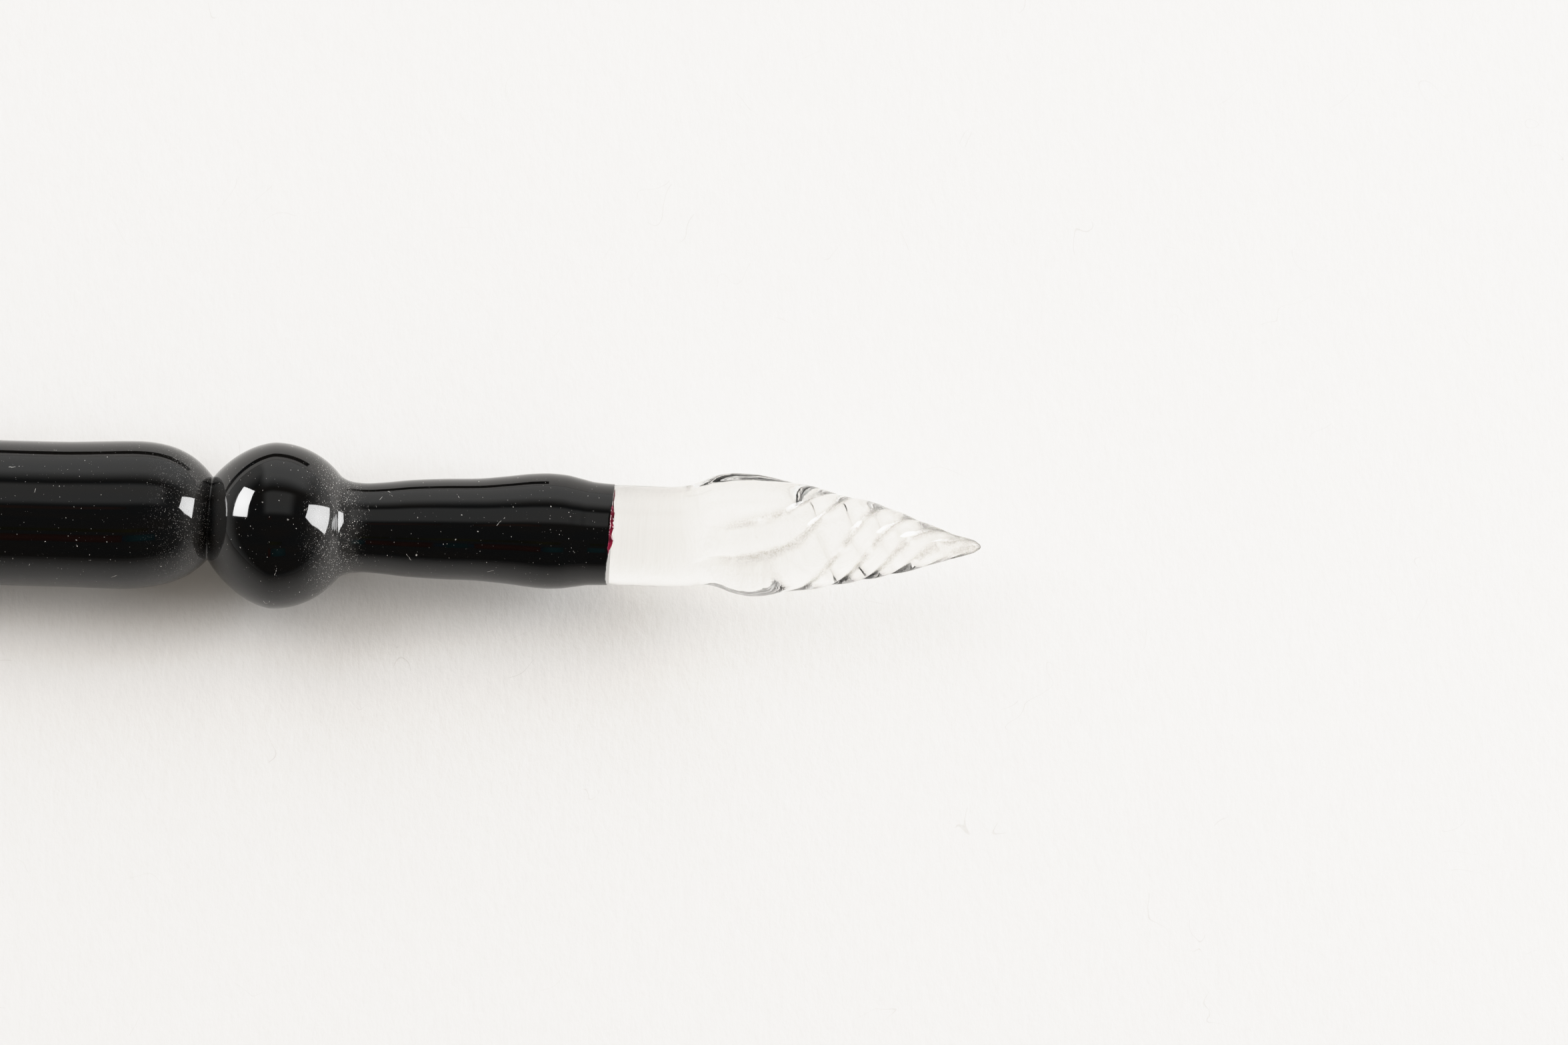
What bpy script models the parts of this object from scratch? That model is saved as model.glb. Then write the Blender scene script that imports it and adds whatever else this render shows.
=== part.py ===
"""Glass dip pen: a handle of solid black glass with a solid clear glass nib.

The pen's axis runs along +X, with the ground flat of the tail at the origin
and the nib's tip at +X.  From tail to tip the closed solids are tail_knob,
barrel, ball, grip, ruby_rim and nib.  The black ones are butt fused at flat
seams.  The nib's root is a round spigot in a socket in the grip, and the ruby
rim is a ring round that spigot, between the grip's lip and the nib's shoulder.

Lengths are millimetres until MM turns them into metres.
"""
import math

import bmesh
import bpy

MM = 0.001

# ---------------------------------------------------------- shared sizes
LENGTH = 175.0            # tail flat to nib tip
SEAM_GAP = 0.02           # clearance left at each fused seam
HALF_GAP = 0.5 * SEAM_GAP # each solid stops this far short of its seam
SEGMENTS = 32             # points round a turned ring
SHARP_ANGLE = 40.0        # degrees, edges steeper than this shade sharp

# seams between the solids, along X
TAIL_WAIST_X, TAIL_WAIST_R = 8.6, 2.7    # knob to barrel
CREVICE_X, CREVICE_R = 113.35, 3.29      # barrel to ball
BALL_SEAM_X = 123.55                     # ball to grip
LIP_X = 145.40                           # grip to ruby rim

# spigot joint
SOCKET_DEPTH = 3.2
SPIGOT_R = 3.62
FIT_GAP = 0.04            # radial clearance round the spigot
SOCKET_R = SPIGOT_R + FIT_GAP
SHANK_R = 4.00            # round part of the nib, in front of the joint

# sideways drift of the centre line (x, offset in Y)
DRIFT_STATIONS = (
    (0.0, 0.0), (60.0, 0.0), (96.0, -0.05), (101.0, 0.0), (106.0, 0.12),
    (109.5, 0.24), (113.35, 0.10), (118.45, -0.28), (125.5, -0.20),
    (131.0, -0.08), (135.0, 0.0), (139.0, 0.09), (141.5, 0.08),
    (145.0, -0.02), (150.0, -0.02), (154.0, 0.34), (160.0, 0.32),
    (162.0, 0.26), (164.0, 0.32), (168.3, 0.21), (170.6, 0.05),
    (172.8, 0.03), (174.3, 0.08), (175.0, 0.08),
)
# lean of the cross-sections (x, dx per dy)
LEAN_STATIONS = (
    (0.0, 0.0), (104.0, 0.0), (113.35, 0.038), (119.0, 0.0), (138.0, 0.0),
    (145.05, 0.036), (150.0, 0.0), (175.0, 0.0),
)


# ----------------------------------------------------------------- maths
def through(stations, x):
    """Monotone cubic through (x, value) stations, so nothing overshoots."""
    if x <= stations[0][0]:
        return stations[0][1]
    if x >= stations[-1][0]:
        return stations[-1][1]
    slopes = [(b[1] - a[1]) / (b[0] - a[0])
              for a, b in zip(stations, stations[1:])]

    def tangent(i):
        if i == 0:
            return slopes[0]
        if i == len(stations) - 1:
            return slopes[-1]
        before, after = slopes[i - 1], slopes[i]
        if before * after <= 0.0:
            return 0.0
        return 2.0 * before * after / (before + after)

    i = max(k for k in range(len(stations) - 1) if stations[k][0] <= x)
    (start_x, start), (stop_x, stop) = stations[i], stations[i + 1]
    span = stop_x - start_x
    t = (x - start_x) / span
    return ((2 * t**3 - 3 * t**2 + 1) * start
            + (t**3 - 2 * t**2 + t) * span * tangent(i)
            + (3 * t**2 - 2 * t**3) * stop
            + (t**3 - t**2) * span * tangent(i + 1))


def ramp(start, stop, x):
    """Smooth step from 0 at start to 1 at stop."""
    t = min(1.0, max(0.0, (x - start) / (stop - start)))
    return t * t * (3.0 - 2.0 * t)


def spread(start, stop, count, crowd=None):
    """count + 1 positions, even or crowded towards the "start" or "stop"."""
    shares = [i / count for i in range(count + 1)]
    if crowd == "start":
        shares = [1.0 - math.cos(0.5 * math.pi * t) for t in shares]
    elif crowd == "stop":
        shares = [math.sin(0.5 * math.pi * t) for t in shares]
    return [start + (stop - start) * t for t in shares]


# ------------------------------------------------------- building solids
def add_ring(bm, x, points):
    """Vertices at (angle, radius) points; degrees from +Z towards +Y."""
    ring = []
    for angle, radius in points:
        y = radius * math.sin(math.radians(angle))
        z = radius * math.cos(math.radians(angle))
        ring.append(bm.verts.new(((x + through(LEAN_STATIONS, x) * y) * MM,
                                  (y + through(DRIFT_STATIONS, x)) * MM,
                                  z * MM)))
    return ring


def loft(name, sections, material, closed=False):
    """Skin (x, points) sections into an object.

    The end rings are capped flat, or joined to each other if closed.
    """
    bm = bmesh.new()
    rings = [add_ring(bm, x, points) for x, points in sections]
    following = rings[1:] + rings[:1] if closed else rings[1:]
    for ring, after in zip(rings, following):
        for i in range(len(ring)):
            j = (i + 1) % len(ring)
            bm.faces.new((ring[i], ring[j], after[j], after[i]))
    if not closed:
        bm.faces.new(rings[0])
        bm.faces.new(rings[-1])
    bmesh.ops.recalc_face_normals(bm, faces=bm.faces)

    mesh = bpy.data.meshes.new(name)
    bm.to_mesh(mesh)
    bm.free()
    mesh.materials.append(material)
    mesh.shade_smooth()
    mesh.set_sharp_from_angle(angle=math.radians(SHARP_ANGLE))
    bpy.context.scene.collection.objects.link(bpy.data.objects.new(name, mesh))


def turned(name, profile, material, closed=False):
    """Loft round rings from a profile of (x, radius)."""
    angles = [360.0 * i / SEGMENTS for i in range(SEGMENTS)]
    sections = [(x, [(angle, radius) for angle in angles])
                for x, radius in profile]
    loft(name, sections, material, closed)


def glass(name, colour, roughness, transmission):
    material = bpy.data.materials.new(name)
    material.use_nodes = True
    inputs = material.node_tree.nodes["Principled BSDF"].inputs
    inputs["Base Color"].default_value = (*colour, 1.0)
    inputs["Roughness"].default_value = roughness
    inputs["Metallic"].default_value = 0.0
    inputs["IOR"].default_value = 1.5
    inputs["Transmission Weight"].default_value = transmission
    material.diffuse_color = (*colour, 1.0)
    return material


# ------------------------------------------------------------- tail knob
TAIL_FLAT_R = 2.3         # ground flat at x = 0
KNOB_X, KNOB_R = 4.3, 4.0 # widest place
KNOB_TAIL_POWER = 2.2     # fullness towards the flat; 2 is an ellipse


def knob_radius(x):
    if x <= KNOB_X:
        t = (KNOB_X - x) / KNOB_X
        end_r, power = TAIL_FLAT_R, KNOB_TAIL_POWER
    else:
        t = (x - KNOB_X) / (TAIL_WAIST_X - KNOB_X)
        end_r, power = TAIL_WAIST_R, 2
    return KNOB_R * math.sqrt(1.0 - (1.0 - (end_r / KNOB_R) ** 2) * t ** power)


def build_tail_knob(material):
    """A bead with a ground flat, necking down to the barrel's waist."""
    xs = spread(0.0, KNOB_X, 6, crowd="stop")
    xs += spread(KNOB_X, TAIL_WAIST_X - HALF_GAP, 6, crowd="start")[1:]
    turned("tail_knob", [(x, knob_radius(x)) for x in xs], material)


# ---------------------------------------------------------------- barrel
BARREL_STATIONS = (       # x, radius: slow taper and a swell at the front
    (9.9, 3.30), (13.0, 3.72), (22.0, 4.00), (40.0, 4.52), (60.0, 5.05),
    (80.0, 5.55), (92.0, 5.80), (100.5, 5.80), (106.2, 5.93),
)
FLARE_POWER = 0.8         # how the waist opens to the first station
SHOULDER_X = 106.6        # where the front starts to close
SHOULDER_TERMS = ((0.62, 2.1), (0.38, 5.0))   # share of the closing, power


def barrel_radius(x):
    flare_x, flare_r = BARREL_STATIONS[0]
    if x < flare_x:
        t = (x - TAIL_WAIST_X) / (flare_x - TAIL_WAIST_X)
        return (TAIL_WAIST_R + (flare_r - TAIL_WAIST_R)
                * math.sin(0.5 * math.pi * t) ** FLARE_POWER)
    if x <= SHOULDER_X:
        return through(BARREL_STATIONS, x)
    full = BARREL_STATIONS[-1][1]
    t = (x - SHOULDER_X) / (CREVICE_X - SHOULDER_X)
    closed = sum(share * t ** power for share, power in SHOULDER_TERMS)
    return full - (full - CREVICE_R) * closed


def build_barrel(material):
    """Long tapering rod with a rounded front shoulder."""
    taper_x = BARREL_STATIONS[1][0]
    xs = spread(TAIL_WAIST_X + HALF_GAP, taper_x, 6, crowd="start")
    xs += spread(taper_x, SHOULDER_X, 14)[1:]
    xs += spread(SHOULDER_X, CREVICE_X - HALF_GAP, 10, crowd="stop")[1:]
    turned("barrel", [(x, barrel_radius(x)) for x in xs], material)


# ------------------------------------------------------------------ ball
BALL_X, BALL_R = 118.45, 6.65
BALL_REAR_LENGTH = 6.43   # superellipse half axis towards the crevice
BALL_REAR_POWER = 1.65    # and its power


def ball_radius(x):
    """Superellipse behind the widest place, sphere in front of it."""
    if x < BALL_X:
        t = (BALL_X - x) / BALL_REAR_LENGTH
        return BALL_R * (1.0 - t ** BALL_REAR_POWER) ** (1.0 / BALL_REAR_POWER)
    return math.sqrt(BALL_R ** 2 - (x - BALL_X) ** 2)


def build_ball(material):
    """Bead between the crevice and the grip."""
    xs = spread(CREVICE_X + HALF_GAP, BALL_X, 10, crowd="start")
    xs += spread(BALL_X, BALL_SEAM_X - HALF_GAP, 7, crowd="stop")[1:]
    turned("ball", [(x, ball_radius(x)) for x in xs], material)


# ------------------------------------------------------------------ grip
GRIP_STATIONS = (         # x, radius: fillet off the ball, neck, bulge, lip
    (BALL_SEAM_X, 4.27), (123.65, 4.155), (123.9, 3.95), (124.25, 3.78),
    (124.85, 3.63), (125.7, 3.57), (127.0, 3.65), (129.3, 3.88),
    (132.0, 4.02), (134.4, 4.08), (137.0, 4.31), (139.2, 4.56),
    (140.35, 4.62), (141.5, 4.56), (142.8, 4.33), (143.9, 4.13),
    (LIP_X, 4.05),
)
GRIP_FILLET_END_X = 126.4 # rings are crowded up to here, then even
SOCKET_FLOOR_X = LIP_X - SOCKET_DEPTH
SOCKET_FLOOR_STEPS = (    # height above the floor, inset from SOCKET_R
    (0.7, 0.0), (0.2, 0.2), (0.0, 0.7),
)


def build_grip(material):
    """Fillet, neck, bulge and lip outside, the spigot's socket inside."""
    xs = spread(BALL_SEAM_X + HALF_GAP, GRIP_FILLET_END_X, 6, crowd="start")
    xs += spread(GRIP_FILLET_END_X, LIP_X - HALF_GAP, 15)[1:]
    profile = [(x, through(GRIP_STATIONS, x)) for x in xs]
    profile += [(LIP_X - HALF_GAP, SOCKET_R),
                (LIP_X - 0.5 * SOCKET_DEPTH, SOCKET_R)]
    profile += [(SOCKET_FLOOR_X + height, SOCKET_R - inset)
                for height, inset in SOCKET_FLOOR_STEPS]
    turned("grip", profile, material)


# -------------------------------------------------------------- ruby rim
RIM_LENGTH = 0.36
RIM_R = 4.10
RIM_EDGE_R = SHANK_R - 0.02   # where the rounding starts at either end
RIM_ROUND_POWER = 0.7         # below 1 the rounding is fuller than an ellipse
RIM_ARC_STEPS = 6
RIM_START_X = LIP_X + HALF_GAP
RIM_STOP_X = RIM_START_X + RIM_LENGTH


def build_ruby_rim(material):
    """A ring of glass round the spigot, rounded on its outer side."""
    profile = []
    for k in range(RIM_ARC_STEPS + 1):
        t = math.pi * k / RIM_ARC_STEPS
        x = 0.5 * (RIM_START_X + RIM_STOP_X) - 0.5 * RIM_LENGTH * math.cos(t)
        bulge = max(0.0, math.sin(t)) ** RIM_ROUND_POWER
        profile.append((x, RIM_EDGE_R + (RIM_R - RIM_EDGE_R) * bulge))
    profile += [(RIM_STOP_X, SOCKET_R), (RIM_START_X, SOCKET_R)]
    turned("ruby_rim", profile, material, closed=True)


# ------------------------------------------------------------------- nib
NIB_ROOT_X = SOCKET_FLOOR_X + 0.08
ROOT_STEPS = (            # distance from the root, inset from SPIGOT_R
    (0.0, 0.66), (0.18, 0.2), (0.62, 0.0),
)
NIB_FACE_X = RIM_STOP_X + 2 * SEAM_GAP   # flat of the nib's shoulder
NIB_CHAMFER = 0.06
SHANK_RING_XS = (148.0, 150.4)

RIB_START_X, RIB_FULL_X = 151.7, 154.7   # ribs swell out of the round shank
SWELL_RINGS, SWELL_STEP = 10, 0.6
TAPER_START_X = 157.7
TAPER_RINGS, TAPER_STEP = 30, 0.56
CREST_STATIONS = (        # x, crest radius of the ribbed part
    (149.9, 4.00), (151.5, 4.07), (152.8, 4.42), (153.6, 4.72), (154.4, 4.90),
    (155.2, 5.00), (156.9, 4.98), (157.9, 4.86), (159.3, 4.62), (160.6, 4.38),
    (162.0, 4.08), (163.3, 3.80), (165.1, 3.40), (166.7, 3.00), (168.3, 2.55),
    (169.6, 2.12), (171.6, 1.45), (172.8, 1.00), (174.2, 0.60), (174.8, 0.37),
)
TIP_RINGS = (             # x, share of the section's radius
    (174.55, 1.0), (174.80, 0.75), (174.95, 0.42), (LENGTH, 0.12),
)
VALLEY_STATIONS = (       # x, valley depth as a share of the crest radius
    (152.0, 0.105), (158.0, 0.11), (168.0, 0.10), (175.0, 0.10),
)
TWIST_STATIONS = (        # x, degrees turned: almost straight, then quick
    (150.0, -40.0), (152.0, -36.0), (153.6, -31.0), (155.2, -26.5),
    (157.35, -21.0), (159.5, -12.0), (160.75, 0.0), (161.6, 17.0),
    (162.7, 38.0), (164.0, 67.0), (165.9, 117.0), (168.0, 175.0),
    (170.15, 232.0), (173.2, 296.0), (175.0, 330.0),
)
LEAD_STATIONS = (         # x, degrees the second valley runs ahead
    (152.0, 0.0), (157.0, 2.0), (159.0, 5.0), (161.0, 12.0), (164.0, 9.0),
    (168.0, 0.0),
)

# hand-made unevenness, one value for each rib or valley
VALLEY_ANGLES = (-12.0, 20.0, 86.0, 146.0, 207.0, 268.0)   # before the twist
VALLEY_SHARE = (1.0, 1.0, 1.0, 1.0, 1.0, 0.75)             # of full depth
RIB_SHARE = (0.95, 1.00, 1.00, 1.00, 0.98, 0.99)           # of crest radius
RIB_LATE = (0.0, -0.6, 0.0, 0.0, 0.6, 1.5)                 # mm swelling later
LATE_FADE_X = (156.0, 160.0)   # the lateness dies out between these
RIBS = len(VALLEY_ANGLES)
POINTS_PER_RIB = 8

RIB_ROUND = 0.50          # the lower, the narrower the crease between ribs
CREASE_FLOOR = 0.004      # the higher, the rounder the bottom of a crease
NARROW_SHARE = 0.35       # height left to a rib of no width at all
UNDER_SHARE = 0.4         # share of the crease depth left on the underside
UPPER_MIDDLE = -14.0      # degrees, middle of the side pressed deepest
UPPER_RAMP = (-0.3, 0.5)  # cosines from that middle: shallowest, deepest


def press_share(angle):
    """Share of the full crease depth at this angle."""
    facing = math.cos(math.radians(angle - UPPER_MIDDLE))
    return UNDER_SHARE + (1.0 - UNDER_SHARE) * ramp(*UPPER_RAMP, facing)


def rib_height(t):
    """How proud a rib stands, from 0 to 1, t of the way across it."""
    def raw(q):
        return (q + CREASE_FLOOR) ** (0.5 * RIB_ROUND)
    return ((raw(math.sin(math.pi * t) ** 2) - raw(0.0))
            / (raw(1.0) - raw(0.0)))


def rib_section(x):
    """Points (angle, radius) of the twisted, ribbed cross-section at x."""
    grown = ramp(RIB_START_X, RIB_FULL_X, x)
    twist = through(TWIST_STATIONS, x)
    valleys = [angle + twist for angle in VALLEY_ANGLES]
    valleys[1] += through(LEAD_STATIONS, x)
    valleys.append(valleys[0] + 360.0)

    # a rib that swells late never falls inside the round shank
    least = min(SHANK_R, through(CREST_STATIONS, x))
    late_share = 1.0 - ramp(*LATE_FADE_X, x)
    crests = [max(least, through(CREST_STATIONS, x - late * late_share))
              for late in RIB_LATE]
    depth = through(VALLEY_STATIONS, x) * grown
    lows = [min(crests[i], crests[i - 1])
            * (1.0 - depth * VALLEY_SHARE[i] * press_share(valleys[i]))
            for i in range(RIBS)]

    points = []
    for rib in range(RIBS):
        start, stop = valleys[rib], valleys[rib + 1]
        low_start, low_stop = lows[rib], lows[(rib + 1) % RIBS]
        middle = 0.5 * (low_start + low_stop)
        top = crests[rib] * (1.0 + (RIB_SHARE[rib] - 1.0) * grown)
        # a narrow rib stands less proud
        width = min(1.0, (stop - start) / (360.0 / RIBS))
        top = middle + ((top - middle)
                        * (NARROW_SHARE + (1.0 - NARROW_SHARE) * width))
        for k in range(POINTS_PER_RIB):
            t = k / POINTS_PER_RIB
            low = low_start + (low_stop - low_start) * t
            points.append((start + (stop - start) * t,
                           low + (top - low) * rib_height(t)))
    return points


def build_nib(material):
    """Spigot, shoulder, round shank and twisted ribs out to the tip."""
    profile = [(NIB_ROOT_X + distance, SPIGOT_R - inset)
               for distance, inset in ROOT_STEPS]
    profile += [(NIB_FACE_X, SPIGOT_R),
                (NIB_FACE_X, SHANK_R - NIB_CHAMFER),
                (NIB_FACE_X + NIB_CHAMFER, SHANK_R)]
    profile += [(x, SHANK_R) for x in SHANK_RING_XS]
    # round rings, with their points in line with the ribbed ones
    sections = [(x, [(angle, radius) for angle, _ in rib_section(x)])
                for x, radius in profile]

    xs = [RIB_START_X + SWELL_STEP * i for i in range(SWELL_RINGS)]
    xs += [TAPER_START_X + TAPER_STEP * i for i in range(TAPER_RINGS)]
    sections += [(x, rib_section(x)) for x in xs]

    # past the last crest station its section is only scaled down
    last_x = CREST_STATIONS[-1][0]
    for x, share in TIP_RINGS:
        points = rib_section(min(x, last_x))
        sections.append((x, [(angle, radius * share)
                             for angle, radius in points]))
    loft("nib", sections, material)


# ----------------------------------------------------------------- build
for old in list(bpy.data.objects):
    bpy.data.objects.remove(old, do_unlink=True)

black = glass("black_glass", colour=(0.006, 0.006, 0.007),
              roughness=0.03, transmission=0.0)
ruby = glass("ruby_glass", colour=(0.30, 0.012, 0.035),
             roughness=0.03, transmission=0.6)
clear = glass("clear_glass", colour=(0.96, 0.97, 0.97),
              roughness=0.0, transmission=1.0)

build_tail_knob(black)
build_barrel(black)
build_ball(black)
build_grip(black)
build_ruby_rim(ruby)
build_nib(clear)
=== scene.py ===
"""Glass dip pen: a black handle with a tail bead and a ball, and a clear twisted nib.

The pen lies along X on a sheet of paper, tail bead at x = 0 and nib tip at +X.  Z is up
and the camera looks down from above, leaning towards -Y.  Shape functions work in
millimetres, meshes in metres.  Angles round the pen run from +Z towards +Y, in degrees.
"""
import math

import bpy
from mathutils import Matrix, Vector, noise


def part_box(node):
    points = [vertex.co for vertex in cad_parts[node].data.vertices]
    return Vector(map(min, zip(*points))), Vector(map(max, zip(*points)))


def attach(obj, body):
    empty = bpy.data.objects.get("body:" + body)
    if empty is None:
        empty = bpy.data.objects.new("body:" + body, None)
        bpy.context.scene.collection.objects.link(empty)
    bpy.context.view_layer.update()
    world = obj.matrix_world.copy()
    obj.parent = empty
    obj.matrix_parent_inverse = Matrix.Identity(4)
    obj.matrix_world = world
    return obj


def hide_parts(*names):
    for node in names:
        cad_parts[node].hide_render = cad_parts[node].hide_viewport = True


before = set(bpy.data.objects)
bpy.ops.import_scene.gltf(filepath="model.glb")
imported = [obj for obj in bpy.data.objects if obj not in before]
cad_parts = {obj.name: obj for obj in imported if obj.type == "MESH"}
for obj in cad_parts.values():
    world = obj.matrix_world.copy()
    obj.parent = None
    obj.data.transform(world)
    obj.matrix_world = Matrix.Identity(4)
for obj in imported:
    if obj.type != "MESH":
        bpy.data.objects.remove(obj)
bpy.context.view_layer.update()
MM = 0.001
TAIL_END_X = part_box("tail_knob")[0].x / MM
TIP_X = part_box("nib")[1].x / MM

CAMERA_ELEVATION = 76.0
VIEW_TILT = 90.0 - CAMERA_ELEVATION    # how far the camera leans from +Z towards -Y

# ===================================================================== shape
KNOB_X, KNOB_RADIUS, TAIL_FLAT_RADIUS = 4.3, 4.0, 2.3
TAIL_WAIST_X, TAIL_WAIST_RADIUS = 8.6, 2.7
SHOULDER_X, CREVICE_X, CREVICE_RADIUS = 106.6, 113.35, 3.29
FOOT_HALF, FOOT_DEPTH = 0.13, 0.088    # round fillet at the crevice's floor
FOOT_X = CREVICE_X - FOOT_HALF
BALL_X, BALL_RADIUS = 118.45, 6.65
BALL_REAR_LENGTH, BALL_REAR_POWER = 6.43, 1.65    # superellipse towards the tail
BALL_SEAM_X = 123.55
LIP_START_X, LIP_X = 144.6, 145.40
# (x, radius)
BARREL = ((9.9, 3.30), (13.0, 3.72), (22.0, 4.00), (40.0, 4.52), (60.0, 5.05),
          (80.0, 5.55), (92.0, 5.80), (100.5, 5.80), (106.2, 5.93))
GRIP = ((BALL_SEAM_X, 4.27), (123.65, 4.155), (123.9, 3.95), (124.25, 3.78),
        (124.85, 3.63), (125.7, 3.57), (127.0, 3.65), (129.3, 3.88),
        (132.0, 4.02), (134.4, 4.08), (137.0, 4.31), (139.2, 4.56),
        (140.35, 4.62), (141.5, 4.56), (142.8, 4.33), (143.9, 4.13),
        (LIP_X, 4.05))
# rings that melt the lip's edge round: (shift along x, drop in radius)
LIP_EDGE = ((0.03, 0.035), (0.06, 0.10), (0.045, 0.22))
LIP_POINTS = 360
# where the ruby wells out of the lip's seam: (middle angle, half width, share)
FRINGE_PATCHES = ((-7.0, 27.0, 1.0), (128.0, 30.0, 0.8), (-140.0, 22.0, 0.7))
FRINGE_LUMPS, FRINGE_POINTS, FRINGE_SECTIONS = 31, 720, 14

SHANK_RADIUS = 4.0
RIB_START_X = 152.3
RIB_GROW_X = RIB_START_X - 0.6
RIB_POINTS = 28    # points across each rib
# (x, radius of the ribs' crests)
CREST = ((149.9, 4.00), (151.5, 4.07), (152.8, 4.42), (153.6, 4.72),
         (154.4, 4.90), (155.2, 5.00), (156.9, 4.98), (157.9, 4.86),
         (159.3, 4.62), (160.6, 4.38), (162.0, 4.08), (163.3, 3.80),
         (165.1, 3.40), (166.7, 3.00), (168.3, 2.55), (169.6, 2.12),
         (171.6, 1.45), (172.8, 1.00), (174.2, 0.60), (174.8, 0.37))
# (x, depth of the valleys as a share of the crest radius)
VALLEY = ((152.0, 0.105), (158.0, 0.11), (168.0, 0.10), (175.0, 0.10))
# a rib's cross section: its roundness, and how far its steep edges are eased
ROUND, ROUND_FLOOR = 0.50, 0.004
# (x, degrees the ribs have turned)
TWIST = ((150.0, -40.0), (152.0, -36.0), (153.6, -31.0), (155.2, -26.5),
         (157.35, -21.0), (159.5, -12.0), (160.75, 0.0), (161.6, 17.0),
         (162.7, 38.0), (164.0, 67.0), (165.9, 117.0), (168.0, 175.0),
         (170.15, 232.0), (173.2, 296.0), (175.0, 330.0))
# each valley's angle before the twist, and (x, extra degrees) for LED_VALLEY
VALLEYS = (-12.0, 20.0, 86.0, 146.0, 207.0, 268.0)
LED_VALLEY = 1
LEAD = ((152.0, 0.0), (157.0, 2.0), (159.0, 5.0), (161.0, 12.0),
        (164.0, 9.0), (168.0, 0.0))
# per rib: share of the crest radius, and mm by which it starts late
LOBE_SHARE = (0.95, 1.00, 1.00, 1.00, 0.98, 0.99)
LOBE_START = (0.0, -0.6, 0.0, 0.0, 0.6, 1.5)
VALLEY_SHARE = (1.0, 1.0, 1.0, 1.0, 1.0, 0.75)    # per valley: share of full depth
# rings that close the tip: (x, share of the radius)
TIP_RINGS = ((174.6, 0.95), (174.72, 0.84), (174.83, 0.70), (174.92, 0.52),
             (174.975, 0.32), (TIP_X, 0.12))

# (x, sideways shift of the pen's axis along Y)
DRIFT = ((0.0, 0.0), (60.0, 0.0), (96.0, -0.05), (101.0, 0.0), (106.0, 0.12),
         (109.5, 0.24), (CREVICE_X, 0.10), (BALL_X, -0.28), (125.5, -0.20),
         (131.0, -0.08), (135.0, 0.0), (139.0, 0.09), (141.5, 0.08),
         (145.0, -0.02), (150.0, -0.02), (154.0, 0.34), (160.0, 0.32),
         (162.0, 0.26), (164.0, 0.32), (168.3, 0.21), (170.6, 0.05), (172.8, 0.03),
         (174.3, 0.08), (175.0, 0.08))
# (x, shift along x per mm of y, which tilts the rings)
LEAN = ((0.0, 0.0), (104.0, 0.0), (CREVICE_X, 0.038), (119.0, 0.0), (138.0, 0.0),
        (145.05, 0.036), (150.0, 0.0), (175.0, 0.0))
UNEVEN, UNEVEN_SIZE = 0.012, 9.0    # height and grain of hand-worked unevenness, mm


def through(table, x):
    """Monotone cubic through the table's points, level beyond its ends."""
    if x <= table[0][0]:
        return table[0][1]
    if x >= table[-1][0]:
        return table[-1][1]
    slopes = [(b[1] - a[1]) / (b[0] - a[0]) for a, b in zip(table, table[1:])]

    def tangent(i):
        if i == 0:
            return slopes[0]
        if i == len(table) - 1:
            return slopes[-1]
        before, after = slopes[i - 1], slopes[i]
        if before * after <= 0.0:
            return 0.0
        return 2.0 * before * after / (before + after)

    i = max(k for k in range(len(table) - 1) if table[k][0] <= x)
    (start, low), (stop, high) = table[i], table[i + 1]
    width = stop - start
    t = (x - start) / width
    return ((2 * t**3 - 3 * t**2 + 1) * low
            + (t**3 - 2 * t**2 + t) * width * tangent(i)
            + (3 * t**2 - 2 * t**3) * high
            + (t**3 - t**2) * width * tangent(i + 1))


def ramp(start, stop, x):
    """0 before start, 1 after stop, smooth between."""
    t = min(1.0, max(0.0, (x - start) / (stop - start)))
    return t * t * (3.0 - 2.0 * t)


def drift(x):
    return through(DRIFT, x)


def knob_radius(x):
    if x <= KNOB_X:
        t = (KNOB_X - x) / KNOB_X
        end, power = TAIL_FLAT_RADIUS, 2.2
    else:
        t = (x - KNOB_X) / (TAIL_WAIST_X - KNOB_X)
        end, power = TAIL_WAIST_RADIUS, 2
    return KNOB_RADIUS * math.sqrt(1.0 - (1.0 - (end / KNOB_RADIUS) ** 2) * t ** power)


def barrel_radius(x):
    first_x, first_radius = BARREL[0]
    if x < first_x:
        t = (x - TAIL_WAIST_X) / (first_x - TAIL_WAIST_X)
        return (TAIL_WAIST_RADIUS + (first_radius - TAIL_WAIST_RADIUS)
                * math.sin(0.5 * math.pi * t) ** 0.8)
    if x <= SHOULDER_X:
        return through(BARREL, x)
    full = BARREL[-1][1]
    t = (x - SHOULDER_X) / (CREVICE_X - SHOULDER_X)
    return full - (full - CREVICE_RADIUS) * (0.62 * t ** 2.1 + 0.38 * t ** 5.0)


def footed_barrel_radius(x):
    """The barrel, ending in a tight round fillet melted onto the ball."""
    if x < FOOT_X:
        return barrel_radius(x)
    return (barrel_radius(FOOT_X)
            - FOOT_DEPTH * (1.0 - ((x - CREVICE_X) / FOOT_HALF) ** 2))


def ball_radius(x):
    if x < BALL_X:
        t = (BALL_X - x) / BALL_REAR_LENGTH
        return BALL_RADIUS * (1.0 - t ** BALL_REAR_POWER) ** (1.0 / BALL_REAR_POWER)
    return math.sqrt(BALL_RADIUS ** 2 - (x - BALL_X) ** 2)


def grip_radius(x):
    return through(GRIP, x)


def valley_angles(x):
    angles = [valley + through(TWIST, x) for valley in VALLEYS]
    angles[LED_VALLEY] += through(LEAD, x)
    return angles


def facing_view(angle):
    """1 on the side towards the camera, 0 on the underside."""
    return ramp(-0.3, 0.5, math.cos(math.radians(angle + VIEW_TILT)))


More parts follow.
